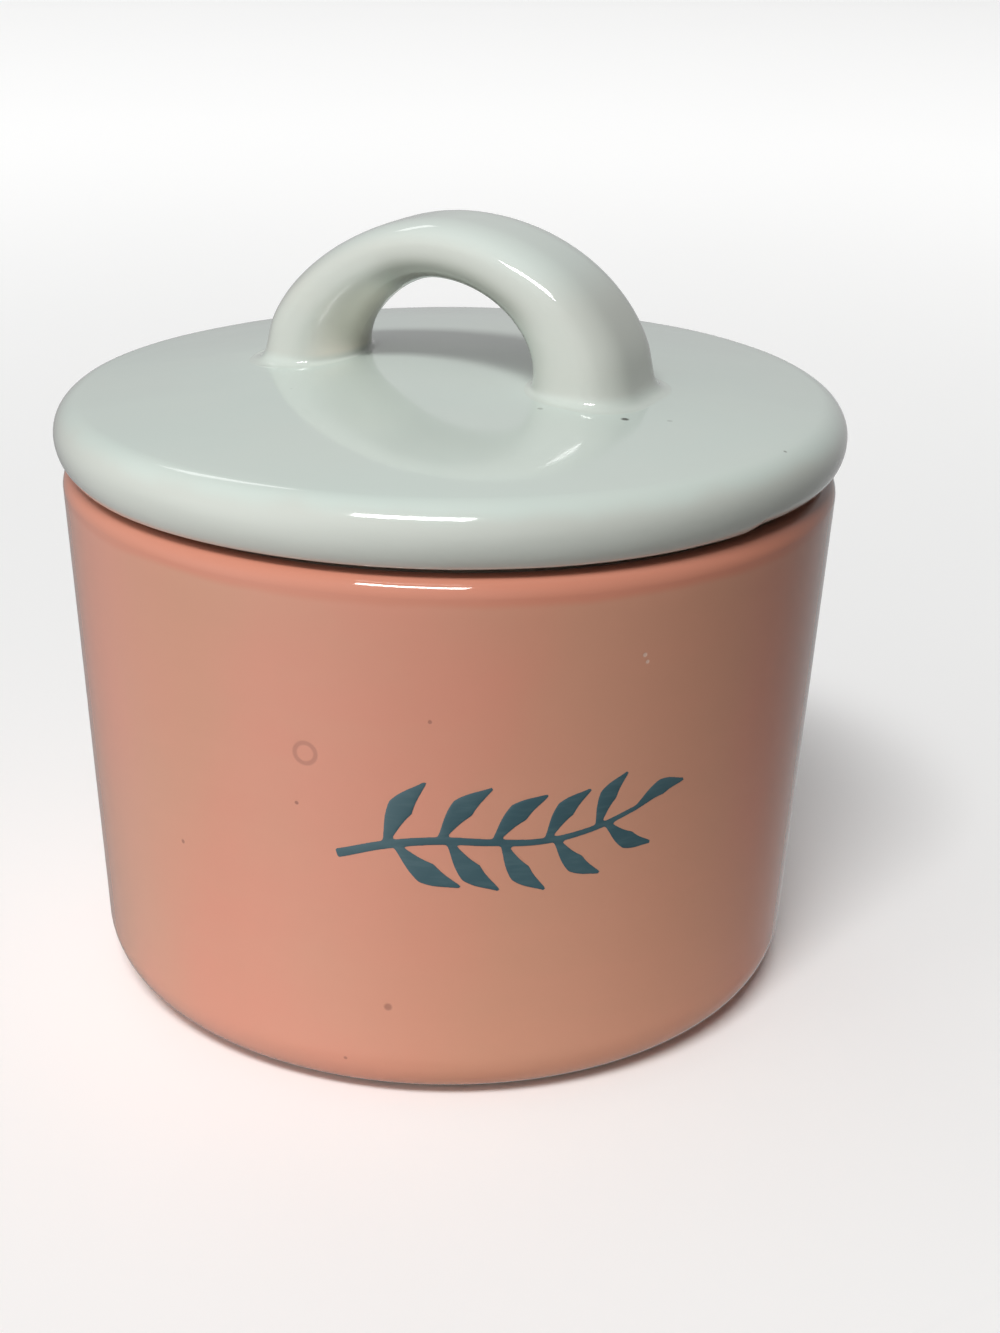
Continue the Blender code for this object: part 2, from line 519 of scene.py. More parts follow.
class Bench:
    """Moves in Blender that the pieces share."""

    @staticmethod
    def clear() -> None:
        """Deselect every object."""
        bpy.ops.object.select_all(action="DESELECT")

    @staticmethod
    def activate(piece: bpy.types.Object) -> None:
        """Make a piece the only selected object and the active one.

        Args:
            piece: Object that is picked.
        """
        Bench.clear()
        piece.select_set(True)
        bpy.context.view_layer.objects.active = piece

    @staticmethod
    def fixed(piece: bpy.types.Object) -> bpy.types.Object:
        """Bring a piece's origin to the frame's.

        Args:
            piece: Object that was made elsewhere.

        Returns:
            The same object.
        """
        Bench.activate(piece)
        bpy.ops.object.transform_apply(location=True)
        return piece

    @staticmethod
    def modify(piece: bpy.types.Object, kind: str, **settings: Any) -> None:
        """Add a modifier to a piece, set it up and apply it.

        Args:
            piece: Object that is modified.
            kind: Blender's name of the modifier's type.
            settings: Properties of the modifier.
        """
        modifier = piece.modifiers.new(kind.title(), kind)
        for name, value in settings.items():
            setattr(modifier, name, value)
        Bench.activate(piece)
        bpy.ops.object.modifier_apply(modifier=modifier.name)

    @staticmethod
    def settle(piece: bpy.types.Object, name: str, crease: float = 40.0) -> None:
        """Name a finished piece, turn its faces outwards, shade it and put its origin at the frame's.

        Args:
            piece: Finished object.
            name: Name of the piece.
            crease: Angle in degrees over which an edge stays sharp.
        """
        piece.name = name
        Bench.activate(piece)
        bpy.ops.object.transform_apply(location=True, rotation=True, scale=True)
        bpy.ops.object.mode_set(mode="EDIT")
        bpy.ops.mesh.select_all(action="SELECT")
        bpy.ops.mesh.normals_make_consistent(inside=False)
        bpy.ops.object.mode_set(mode="OBJECT")
        bpy.ops.object.shade_smooth_by_angle(angle=math.radians(crease))
        Bench.clear()

    @staticmethod
    def turn(outline: Outline, sides: int) -> bpy.types.Object:
        """Turned solid: a disc whose rim is drawn along an outline and closed on the axis.

        Args:
            outline: Half section that starts and ends near the axis.
            sides: Number of sides of the turned shape.

        Returns:
            The new object.
        """
        Bench.clear()
        radius, height = outline.points[0]
        bpy.ops.mesh.primitive_circle_add(
            vertices=sides, radius=radius * MM, fill_type="TRIFAN", location=(0.0, 0.0, height * MM)
        )
        bpy.ops.object.mode_set(mode="EDIT")
        bpy.ops.mesh.select_mode(type="EDGE")
        bpy.ops.mesh.select_all(action="DESELECT")
        bpy.ops.mesh.select_non_manifold()
        for next_radius, next_height in outline.points[1:]:
            rise = (next_height - height) * MM
            bpy.ops.mesh.extrude_edges_move(TRANSFORM_OT_translate={"value": (0.0, 0.0, rise)})
            grow = next_radius / radius
            centre = (0.0, 0.0, next_height * MM)
            bpy.ops.transform.resize(value=(grow, grow, 1.0), center_override=centre)
            radius, height = next_radius, next_height
        bpy.ops.mesh.merge(type="CENTER")
        bpy.ops.object.mode_set(mode="OBJECT")
        return Bench.fixed(bpy.context.object)

    @staticmethod
    def ripple(piece: bpy.types.Object, size: float, depth: float, low: float) -> None:
        """Give a piece the slight waviness of hand-finished clay.

        Args:
            piece: Object that is displaced.
            size: Size of the waves in millimetres.
            depth: Full depth of the waves in millimetres.
            low: Height in millimetres under which the piece stays true.
        """
        clouds = bpy.data.textures.new("clay_waves", "CLOUDS")
        clouds.noise_scale = size * MM
        clouds.noise_depth = 1
        wavy = piece.vertex_groups.new(name="wavy")
        wavy.add([vertex.index for vertex in piece.data.vertices if vertex.co.z > low * MM], 1.0, "REPLACE")
        Bench.modify(
            piece,
            "DISPLACE",
            texture=clouds,
            texture_coords="LOCAL",
            strength=depth * MM,
            mid_level=0.5,
            vertex_group="wavy",
        )


@dataclass
class PotShell:
    """Turned pot with a rounded rim, tapered wall, rounded base edge and a foot ring."""

    base_radius: float = 50.5
    wall: float = 5.5
    floor: float = 6.0
    base_corner: float = 8.2
    inside_corner: float = 7.0
    rim_outer: float = 2.4
    rim_inner: float = 2.6
    rim_wear: float = 0.5
    rim_band: float = 3.3
    foot_width: float = 5.5
    foot_height: float = 1.5
    foot_round: float = 0.6
    wave_size: float = 38.0
    wave_depth: float = 0.12
    wander_size: float = 12.0
    lining_inset: float = 0.6
    lining_wander: float = 0.6
    lining_soft: float = 0.25
    lining_low: Span = (3.0, 4.0)
    bare_height: float = 0.45
    bare_wander: float = 0.4
    bare_soft: float = 0.15
    rim_soft: float = 0.6
    sides: int = 192
    axis_gap: float = 2.0

    def __post_init__(self) -> None:
        """Take the rim's size from the frame, less what the rim's wiping took off."""
        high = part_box("pot")[1]
        self.rim_radius = high.x / MM
        self.height = high.z / MM - self.rim_wear

    def wall_radius(self, height: Any) -> Any:
        """Outer radius of the straight tapered wall.

        Args:
            height: Number or socket in millimetres.

        Returns:
            The radius at that height, as a number or a socket.
        """
        low = self.base_corner
        taper = (self.rim_radius - self.base_radius) / (self.height - self.rim_outer - low)
        return (height - low) * taper + self.base_radius

    def outline(self) -> Outline:
        """Draw the half section from the inside floor over the rim and down to the foot ring.

        Returns:
            The outline.
        """
        low = self.floor + self.inside_corner
        inside = self.wall_radius(low) - self.wall
        mouth = self.rim_radius - self.wall
        foot_outer = self.base_radius - self.base_corner
        foot_inner = foot_outer - self.foot_width
        drawn = Outline().to(self.axis_gap, self.floor)
        drawn.to(inside - self.inside_corner, self.floor, 8)
        drawn.arc((inside - self.inside_corner, low), self.inside_corner, -90, 0, 12)
        drawn.to(mouth, self.height - self.rim_inner, 16)
        drawn.arc((mouth + self.rim_inner, self.height - self.rim_inner), self.rim_inner, 180, 90, 8)
        rim = (self.rim_radius - self.rim_outer, self.height - self.rim_outer)
        drawn.to(rim[0], self.height, 2)
        drawn.arc(rim, self.rim_outer, 90, 0, 14)
        drawn.to(self.base_radius, self.base_corner, 24)
        drawn.arc((foot_outer, self.base_corner), self.base_corner, 0, -90, 18)
        drawn.to(foot_inner + self.foot_round, 0.0, 3)
        drawn.arc((foot_inner + self.foot_round, self.foot_round), self.foot_round, -90, -180, 5)
        drawn.to(foot_inner, self.foot_height)
        drawn.to(self.axis_gap, self.foot_height, 8)
        return drawn

    def dress(self, piece: bpy.types.Object, glaze: Glaze) -> None:
        """Pink glaze outside, a pale lining, and bare clay under the foot.

        Args:
            piece: The pot's mesh.
            glaze: Outer glaze.
        """
        graph = glaze.start(piece)
        radius, level = graph.turned()
        wander = graph.wander(self.wander_size)
        lining_edge = self.wall_radius(level) - (self.wall - self.lining_inset) + wander * self.lining_wander
        lined = (lining_edge - radius).positive(self.lining_soft) * level.above(*self.lining_low)
        bare = (self.bare_height + wander * self.bare_wander - level).positive(self.bare_soft)
        near_rim = (level + wander - (self.height - self.rim_band)).positive(self.rim_soft)
        colour = graph.mix(near_rim, glaze.colour(graph), glaze.rim)
        colour = graph.mix(lined, colour, glaze.lining_colour(graph, wander))
        glaze.finish(graph, graph.mix(bare, colour, glaze.clay_colour(graph, wander)), bare)

    def build(self, glaze: Glaze) -> bpy.types.Object:
        """Model, dress and place the pot.

        Args:
            glaze: Outer glaze.

        Returns:
            The pot's object.
        """
        piece = Bench.turn(self.outline(), self.sides)
        Bench.ripple(piece, self.wave_size, self.wave_depth, self.foot_height)
        Bench.settle(piece, "pot_shell")
        self.dress(piece, glaze)
        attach(piece, Body.POT.value)
        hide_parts("pot")
        return piece


@dataclass
class LidDisc:
    """Turned lid with a crowned top, a thick rounded edge, a seat ring and a locating flange."""

    MEETING_ROUNDS = 6
    NICK_SLACK = 0.1

    top_round: float = 4.4
    belly_round: float = 6.0
    lip_round: float = 0.8
    crown: float = 3.2
    recess: float = 2.5
    recess_round: float = 1.0
    seat_step: float = 0.5
    seat_radius: float = 50.8
    flange_depth: float = 6.5
    flange_radius: float = 47.7
    flange_thickness: float = 4.5
    flange_round: float = 1.2
    nick_bearing: float = 72.5
    nick_width: float = 2.5
    nick_fade: float = 40.0
    nick_rise: float = 0.55
    nick_reach: float = 3.0
    wave_size: float = 30.0
    wave_depth: float = 0.22
    wander_size: float = 10.0
    seat_inset: float = 0.4
    seat_wander: float = 0.8
    seat_soft: float = 0.15
    flange_soft: float = 0.4
    bare_reach: Span = (2.0, 2.4)
    # Wavy band down the lid's side in the glaze's rim tone: painted shade.
    painted_side_shade_wander: float = 3.0
    painted_side_shade_band: Span = (-3.0, -0.6)
    crown_steps: int = 24
    sides: int = 192
    axis_gap: float = 2.0

    def __post_init__(self) -> None:
        """Take the lid's reach and levels from the frame, and work out where crown and edge meet."""
        low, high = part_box("lid")
        self.radius = high.x / MM
        self.top = high.z / MM
        self.seat = low.z / MM + self.flange_depth
        self.edge_top = self.top - self.crown
        self.lean = 0.0
        for _ in range(self.MEETING_ROUNDS):
            drop = self.crown + self.top_round * (1.0 - math.cos(self.lean))
            self.crown_radius = self.radius - self.top_round * (1.0 - math.sin(self.lean))
            self.lean = math.atan(2.0 * drop / self.crown_radius)
        self.drop = drop

    def crown_height(self, radius: float) -> float:
        """Height of the crowned top at a distance from the axis."""
        return self.top - self.drop * (radius / self.crown_radius) ** 2

    def outline(self) -> Outline:
        """Draw the half section from the crown over the edge to the underside and the flange.

        Returns:
            The outline.
        """
        drawn = Outline().to(self.axis_gap, self.crown_height(self.axis_gap))
        for step in range(1, self.crown_steps + 1):
            radius = self.axis_gap + (self.crown_radius - self.axis_gap) * step / self.crown_steps
            drawn.to(radius, self.crown_height(radius))
        corner = (self.radius - self.top_round, self.edge_top - self.top_round)
        drawn.arc(corner, self.top_round, 90 - math.degrees(self.lean), 0, 14)
        under = self.seat + self.seat_step
        tuck = math.asin((corner[1] - under - self.lip_round) / (self.belly_round - self.lip_round))
        drawn.arc((self.radius - self.belly_round, corner[1]), self.belly_round, 0, -math.degrees(tuck), 8)
        lip = self.radius - self.belly_round + (self.belly_round - self.lip_round) * math.cos(tuck)
        drawn.arc((lip, under + self.lip_round), self.lip_round, -math.degrees(tuck), -90, 5)
        drawn.to(self.seat_radius, under, 2).to(self.flange_radius, under, 3)
        low = self.seat - self.flange_depth + self.flange_round
        inner = self.flange_radius - self.flange_thickness
        drawn.arc((self.flange_radius - self.flange_round, low), self.flange_round, 0, -90, 6)
        drawn.arc((inner + self.flange_round, low), self.flange_round, -90, -180, 6)
        roof = self.seat + self.recess
        drawn.to(inner, roof - self.recess_round, 3).to(inner - self.recess_round, roof)
        drawn.to(self.axis_gap, roof, 8)
        return drawn

    def nick(self, piece: bpy.types.Object) -> None:
        """Raise a short stretch of the lid's lower edge, sharply at one end, as a knock in the wet clay did.

        Args:
            piece: The lid's mesh, which is changed.
        """
        under = self.seat + self.seat_step
        for vertex in piece.data.vertices:
            x, y, z = (part / MM for part in vertex.co)
            past = math.degrees(math.atan2(x, -y)) - self.nick_bearing
            share = 1.0 - (z - under) / self.nick_reach
            if math.hypot(x, y) < self.seat_radius or share <= 0.0 or z < under - self.NICK_SLACK:
                continue
            step = unit(past / self.nick_width)
            fade = unit(1.0 - past / self.nick_fade)
            vertex.co.z += self.nick_rise * share * step * fade * MM

    def dress(self, piece: bpy.types.Object, glaze: Glaze) -> None:
        """Pale glaze all over but for the bare ring that sits on the pot, with painted shade as a darker,
        less green band down the side.

        Args:
            piece: The lid's mesh.
            glaze: The lid's glaze.
        """
        graph = glaze.start(piece)
        radius, level = graph.turned()
        wander = graph.wander(self.wander_size)
        seat_edge = self.seat_radius - self.seat_inset + wander * self.seat_wander
        inside = self.flange_radius - self.flange_round
        ring = (seat_edge - radius).positive(self.seat_soft)
        ring = ring * radius.above(inside - self.flange_soft, inside)
        bare = ring * (level - self.seat).below(*self.bare_reach)
        # side: painted shade, a darker, less green band down the lid's side.
        side = (level + wander * self.painted_side_shade_wander - self.edge_top).below(*self.painted_side_shade_band)
        colour = graph.mix(side, glaze.colour(graph), glaze.rim)
        glaze.finish(graph, graph.mix(bare, colour, glaze.clay_colour(graph, wander)), bare)

    def build(self, glaze: Glaze) -> bpy.types.Object:
        """Model, dress and place the lid.

        Args:
            glaze: The lid's glaze.

        Returns:
            The lid's object.
        """
        piece = Bench.turn(self.outline(), self.sides)
        self.nick(piece)
        Bench.ripple(piece, self.wave_size, self.wave_depth, self.seat + self.seat_step)
        Bench.settle(piece, "lid_disc")
        self.dress(piece, glaze)
        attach(piece, Body.LID.value)
        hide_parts("lid")
        return piece


@dataclass(frozen=True)
class KilnWarp:
    """Slight twist that firing gave the lid, so that one side stands a little higher on the pot."""

    bearing: float = 28.0
    slope: float = 0.009
    twist: float = 0.0001
    lift: float = -0.1
    reach: float = 60.0
    low: float = 60.0
    high: float = 120.0

    def raised(self, across: float, away: float) -> float:
        """Rise of a point in millimetres, by its distances to the right of the view and away from it."""
        return self.lift + across * (self.slope + self.twist * away)

    def cage(self) -> bpy.types.Object:
        """Set up eight corners round the lid and its handle, bent by the warp.

        Returns:
            The lattice.
        """
        Bench.clear()
        middle = (self.low + self.high) / 2
        turn = math.radians(self.bearing)
        bpy.ops.object.add(type="LATTICE", location=(0.0, 0.0, middle * MM), rotation=(0.0, 0.0, turn))
        cage = bpy.context.object
        size = 2 * self.reach * MM, 2 * self.reach * MM, (self.high - self.low) * MM
        cage.scale = size
        for axis in "uvw":
            setattr(cage.data, f"points_{axis}", 2)
            setattr(cage.data, f"interpolation_type_{axis}", "KEY_LINEAR")
        for point in cage.data.points:
            across, away = (2 * self.reach * part for part in point.co[:2])
            point.co_deform.z += self.raised(across, away) * MM / size[2]
        return cage

    def bend(self, pieces: Iterable[bpy.types.Object]) -> None:
        """Warp pieces together.

        Args:
            pieces: Finished meshes.
        """
        cage = self.cage()
        bpy.context.view_layer.update()
        for piece in pieces:
            Bench.modify(piece, "LATTICE", object=cage)
        bpy.data.objects.remove(cage)


@dataclass(frozen=True)
class Station:
    """One section of the strap: its centre, its turn about Y and its sizes, in millimetres and radians."""

    x: float
    z: float
    turn: float
    thickness: float
    width: float


@dataclass
class ArchHandle:
    """Strap drawn along an arch, with soft fillets where its feet run into the lid."""

    lid: LidDisc
    span: float = 42.5
    rise: float = 17.2
    foot_thickness: float = 14.6
    top_thickness: float = 8.5
    foot_width: float = 18.6
    uneven: float = 0.10
    left_slope: float = 1.7
    top_width: float = 17.2
    fillet: float = 2.2
    fillet_reach: float = 1.6
    root: float = 2.0
    outer_corner: float = 0.36
    inner_corner: float = 0.49
    foot_blend: float = 1.5
    # Lighter, warmer tone inside the left leg: painted light, standing in for light thrown back from the
    # lid.
    left_painted_light_tone: Colour = (0.78, 0.74, 0.65)
    left_painted_light_ring: Span = (0.5, 0.85)
    left_painted_light_side: Span = (-11.0, -4.0)
    # Greyer tone under the arch's top: painted shade where the strap's underside and lower front turn away
    # from the light.
    under_painted_shade_tone: Colour = (0.345, 0.34, 0.30)
    under_painted_shade_ring: Span = (0.6, 1.15)
    under_painted_shade_rise: Span = (8.0, 13.0)
    under_painted_shade_side: Span = (-10.0, -4.0)
    # Lighter tone on top of the arch: painted light where the strap faces up.
    top_painted_light_tone: Colour = (0.61, 0.67, 0.625)
    top_painted_light_ring: Span = (1.1, 1.45)
    top_painted_light_rise: Span = (11.0, 18.0)
    corner_steps: int = 7
    fillet_steps: int = 6
    arch_steps: int = 40

    def station(self, angle: float, sunk: float = 0.0) -> Station:
        """Section of the strap at an angle along the arch.

        Args:
            angle: 0 at the left foot and pi at the right one.
            sunk: Depth below the lid's top, for the feet.

        Returns:
            The section.
        """
        half = self.span / 2
        rise = self.rise * math.sin(angle)
        reach = max(self.fillet - rise, 0.0)
        spread = self.fillet - math.sqrt(max(self.fillet ** 2 - reach ** 2, 0.0))
        share = math.sin(angle)
        swell = 1.0 - self.uneven * math.cos(angle)
        lean = self.left_slope if angle < math.pi / 2 else 0.0
        thickness = self.foot_thickness + (self.top_thickness - self.foot_thickness) * share
        drift = 2 * math.cos(2 * angle) * math.sin(angle) + math.sin(2 * angle) * math.cos(angle)
        turn = math.atan2(half * math.sin(angle) + lean * drift, self.rise * math.cos(angle))
        return Station(
            x=-half * math.cos(angle) + lean * math.sin(2 * angle) * math.sin(angle),
            z=self.lid.crown_height(half) + rise - sunk,
            turn=turn,
            thickness=thickness * swell + 2 * spread,
            width=self.foot_width + (self.top_width - self.foot_width) * share + 2 * spread,
        )

    def stations(self) -> list[Station]:
        """Work out the strap's sections.

        Returns:
            Sections from the left foot's root over the arch to the right one's.
        """
        bend = math.asin(self.fillet / self.rise)
        turns = [math.pi / 2 * step / self.fillet_steps for step in range(self.fillet_steps)]
        left = [math.asin(self.fillet * (1 - math.cos(turn)) / self.rise) for turn in turns]
        sweep = math.pi - 2 * bend
        middle = [bend + sweep * step / self.arch_steps for step in range(self.arch_steps + 1)]
        right = [math.pi - angle for angle in reversed(left)]
        ends = self.station(0.0, self.root), self.station(math.pi, self.root)
        return [ends[0], *(self.station(angle) for angle in left + middle + right), ends[1]]

    def strap(self) -> bpy.types.Object:
        """Draw the strap section by section from a plane with rounded corners.

        Returns:
            The strap's object.
        """
        Bench.clear()
        sections = self.stations()
        here = sections[0]
        edge, near = 0.5, 0.01
        centre = (here.x * MM, 0.0, here.z * MM)
        bpy.ops.mesh.primitive_plane_add(size=2 * edge, location=centre)
        piece = bpy.context.object
        bpy.ops.object.mode_set(mode="EDIT")
        for side, corner in ((-edge, self.outer_corner), (edge, self.inner_corner)):
            bpy.ops.mesh.select_mode(type="VERT")
            bpy.ops.mesh.select_all(action="DESELECT")
            bpy.ops.object.mode_set(mode="OBJECT")
            for vertex in piece.data.vertices:
                vertex.select = abs(vertex.co.x - side) < near and abs(vertex.co.y) > edge - near
            bpy.ops.object.mode_set(mode="EDIT")
            bpy.ops.mesh.bevel(offset=corner, segments=self.corner_steps, affect="VERTICES")
        bpy.ops.mesh.select_all(action="SELECT")
        bpy.ops.mesh.delete(type="ONLY_FACE")
        bpy.ops.mesh.select_mode(type="EDGE")
        bpy.ops.mesh.select_all(action="SELECT")
        bpy.ops.transform.resize(value=(here.thickness * MM, here.width * MM, 1.0), center_override=centre)
        bpy.ops.mesh.edge_face_add()
        bpy.ops.mesh.select_all(action="SELECT")
        bpy.ops.mesh.select_mode(type="EDGE")
        for there in sections[1:]:
            self.draw_to(here, there)
            here = there
        bpy.ops.mesh.edge_face_add()
        bpy.ops.object.mode_set(mode="OBJECT")
        return Bench.fixed(bpy.context.object)

    def draw_to(self, here: Station, there: Station) -> None:
        """Extrude the selected ring to the next section: move, level, resize and turn it.

        Args:
            here: Section of the selected ring.
            there: Section that the new ring takes.
        """
        step = ((there.x - here.x) * MM, 0.0, (there.z - here.z) * MM)
        centre = (there.x * MM, 0.0, there.z * MM)
        bpy.ops.mesh.extrude_edges_move(TRANSFORM_OT_translate={"value": step})
        bpy.ops.transform.rotate(value=here.turn, orient_axis="Y", center_override=centre)
        scale = (there.thickness / here.thickness, there.width / here.width, 1.0)
        bpy.ops.transform.resize(value=scale, center_override=centre)
        bpy.ops.transform.rotate(value=-there.turn, orient_axis="Y", center_override=centre)

    def seat_feet(self, piece: bpy.types.Object, lid_piece: bpy.types.Object) -> None:
        """Bring the fillets' lower edges down on the lid's crown.

        Args:
            piece: The strap's mesh.
            lid_piece: The lid's mesh.
        """
        group = piece.vertex_groups.new(name="fillet")
        foot = self.lid.crown_height(self.span / 2)
        sections = self.stations()
        ring = len(piece.data.vertices) // len(sections)
        for vertex in piece.data.vertices:
            number = vertex.index // ring
            if 0 < number < len(sections) - 1:
                above = sections[number].z - foot
                weight = unit(1.0 - above / (self.fillet_reach * self.fillet))
                group.add([vertex.index], weight, "REPLACE")
        Bench.modify(
            piece,
            "SHRINKWRAP",
            target=lid_piece,
            wrap_method="PROJECT",
            use_project_z=True,
            use_negative_direction=True,
            use_positive_direction=True,
            vertex_group="fillet",
        )

    def dress(self, piece: bpy.types.Object, glaze: Glaze) -> None:
        """Pale glaze, with painted light inside the left leg and on top of the arch, painted shade under the
        arch, and the rim tone at the feet.

        Args:
            piece: The handle's mesh.
            glaze: The handle's glaze.
        """
        graph = glaze.start(piece)
        x, _, z = (part * (1.0 / MM) for part in graph.parts(graph.place))
        above = z - self.lid.crown_height(self.span / 2)
        arch = (x * (2.0 / self.span)) ** 2.0 + (above * (1.0 / self.rise)) ** 2.0
        # under: mask of the painted shade under the arch's top.
        under = arch.below(*self.under_painted_shade_ring) * above.above(*self.under_painted_shade_rise) * x.above(*self.under_painted_shade_side)
        # Painted light inside the left leg and on top, painted shade under the arch, and the glaze's rim
        # tone where the feet meet the lid.
        painted_light_and_tones = (
            (arch.below(*self.left_painted_light_ring) * x.below(*self.left_painted_light_side), self.left_painted_light_tone),
            (under, self.under_painted_shade_tone),
            (arch.above(*self.top_painted_light_ring) * above.above(*self.top_painted_light_rise), self.top_painted_light_tone),
            (above.below(0.0, self.foot_blend), glaze.rim),
        )
        colour = glaze.colour(graph)
        for mask, tone in painted_light_and_tones:
            colour = graph.mix(mask, colour, tone)
        glaze.finish(graph, colour)

    def build(self, glaze: Glaze, lid_piece: bpy.types.Object) -> bpy.types.Object:
        """Model, dress and place the handle.

        Args:
            glaze: The handle's glaze.
            lid_piece: The lid's mesh, which the feet are seated on.

        Returns:
            The handle's object.
        """
        piece = self.strap()
        self.seat_feet(piece, lid_piece)
        Bench.modify(piece, "SUBSURF", levels=2, render_levels=2)
        Bench.settle(piece, "arch_handle")
        self.dress(piece, glaze)
        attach(piece, Body.LID.value)
        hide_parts("lid_handle")
        return piece


@dataclass(frozen=True)
class Stroke:
    """One brush stroke as (across, up, half width) points in millimetres."""

    points: tuple[Point, ...]

    def draw(self, curve: bpy.types.Curve) -> None:
        """Add the stroke to a curve as a spline.

        Args:
            curve: Curve whose bevel depth is 1 mm.
        """
        spline = curve.splines.new("BEZIER")
        spline.bezier_points.add(len(self.points) - 1)
        for knot, (across, up, half) in zip(spline.bezier_points, self.points):
            knot.co = (across * MM, up * MM, 0.0)
            knot.radius = half
            knot.handle_left_type = "AUTO"
            knot.handle_right_type = "AUTO"


@dataclass
class FrontSprig:
    """Leaf sprig brushed on the front of the pot in dark enamel."""

    NEARBY = 0.01

    pot: PotShell
    bearing: float = 34.0
    height: float = 40.0
    stem_length: float = 39.0
    stem_rise: float = 5.0
    stem_bow: float = 1.3
    stem_half: float = 0.55
    stem_root: float = 1.2
    stem_taper: float = 0.5
    stem_knots: int = 7
    leaf_pairs: int = 5
    first_leaf: float = 0.16
    last_leaf: float = 0.86
    leaf_length: float = 11.0
    leaf_half: float = 1.75
    leaf_base: float = 0.35
    leaf_tip: float = 0.22
    leaf_belly: float = 0.55
    leaf_stagger: float = 0.03
    leaf_angle: float = 47.0
    leaf_curl: float = 0.9
    tip_share: float = 0.7
    thickness: float = 0.15
    proud: float = 0.03
    grain: float = 0.2

    def stem_at(self, share: float) -> Vector:
        """Point of the stem.

        Args:
            share: Share of its length.

        Returns:
            The point, across and up.
        """
        across = self.stem_length * (share - 0.5)
        bow = self.stem_bow * math.sin(2 * math.pi * share)
        return Vector((across, self.stem_rise * (share - 0.5) + bow))

    def stem(self) -> Stroke:
        """Draw the stem, thinner towards its tip.

        Returns:
            The stem's stroke.
        """
        shares = [knot / (self.stem_knots - 1) for knot in range(self.stem_knots)]
        halves = [self.stem_half * (self.stem_root - self.stem_taper * share) for share in shares]
        return Stroke(tuple((*self.stem_at(share), half) for share, half in zip(shares, halves)))

    def leaf(self, share: float, turn: float) -> Stroke:
        """A leaf that swells from the stem and runs out to a point.

        Args:
            share: Place along the stem.
            turn: Angle from the stem in degrees, upwards when positive.

        Returns:
            The leaf's stroke.
        """
        base = self.stem_at(share)
        along = self.stem_at(share + self.NEARBY) - self.stem_at(share - self.NEARBY)
        heading = math.atan2(along.y, along.x) + math.radians(turn)
        way = Vector((math.cos(heading), math.sin(heading)))
        aside = Vector((-way.y, way.x)) * math.copysign(self.leaf_curl, turn)
        shrink = 1.0 - (1.0 - self.tip_share) * share
        length = self.leaf_length * shrink
        middle = base + way * (self.leaf_belly * length) + aside
        tip = base + way * length
        return Stroke(((*base, self.leaf_base), (*middle, self.leaf_half * shrink), (*tip, self.leaf_tip)))

    def strokes(self) -> list[Stroke]:
        """Draw the whole sprig.

        Returns:
            Strokes of the stem, the leaf at its tip and the pairs of leaves.
        """
        drawn = [self.stem(), self.leaf(1.0, 0.0)]
        for pair in range(self.leaf_pairs):
            share = self.first_leaf + (self.last_leaf - self.first_leaf) * pair / (self.leaf_pairs - 1)
            drawn.append(self.leaf(share, self.leaf_angle))
            drawn.append(self.leaf(share + self.leaf_stagger, -self.leaf_angle))
        return drawn

    def flat(self) -> bpy.types.Object:
        """Lay the sprig flat, as one skin round its strokes.

        Returns:
            The flat sprig.
        """
        Bench.clear()
        bpy.ops.curve.primitive_bezier_curve_add()
        piece = bpy.context.object
        piece.data.splines.clear()
        piece.data.dimensions = "3D"
        piece.data.bevel_depth = MM
        piece.data.bevel_resolution = 4
        piece.data.use_fill_caps = True
        for stroke in self.strokes():
            stroke.draw(piece.data)
        Bench.activate(piece)
        bpy.ops.object.convert(target="MESH")
        piece = bpy.context.object
        Bench.modify(piece, "REMESH", mode="VOXEL", voxel_size=self.grain * MM)
        Bench.modify(piece, "SMOOTH", factor=0.5, iterations=4)
        return piece

    def wrap(self, piece: bpy.types.Object) -> None:
        """Press the flat sprig thin and lay it round the pot's wall.

        Args:
            piece: The flat sprig, which is changed.
        """
        middle = self.pot.wall_radius(self.height)
        for vertex in piece.data.vertices:
            across, up, depth = (part / MM for part in vertex.co)
            level = self.height + up
            pressed = self.thickness * math.tanh(depth / self.leaf_half)
            radius = self.pot.wall_radius(level) + self.proud + pressed
            angle = math.radians(self.bearing) + across / middle
            vertex.co = Vector((radius * math.sin(angle), -radius * math.cos(angle), level)) * MM

    def build(self, glaze: Glaze) -> bpy.types.Object:
        """Model, dress and place the sprig.

        Args:
            glaze: The enamel that it is brushed in.

        Returns:
            The sprig's object.
        """
        piece = self.flat()
        self.wrap(piece)
        Bench.settle(piece, "front_sprig")
        graph = glaze.start(piece)
        glaze.finish(graph, glaze.colour(graph))
        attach(piece, Body.POT.value)
        return piece


def bearing_way(bearing: float, elevation: float) -> Vector:
    """Direction from the dish.

    Args:
        bearing: Degrees from -Y towards +X.
        elevation: Degrees above the floor.

    Returns:
        The direction as a unit vector.
    """
    turn, climb = math.radians(bearing), math.radians(elevation)
    level = math.cos(climb)
    return Vector((math.sin(turn) * level, -math.cos(turn) * level, math.sin(climb)))


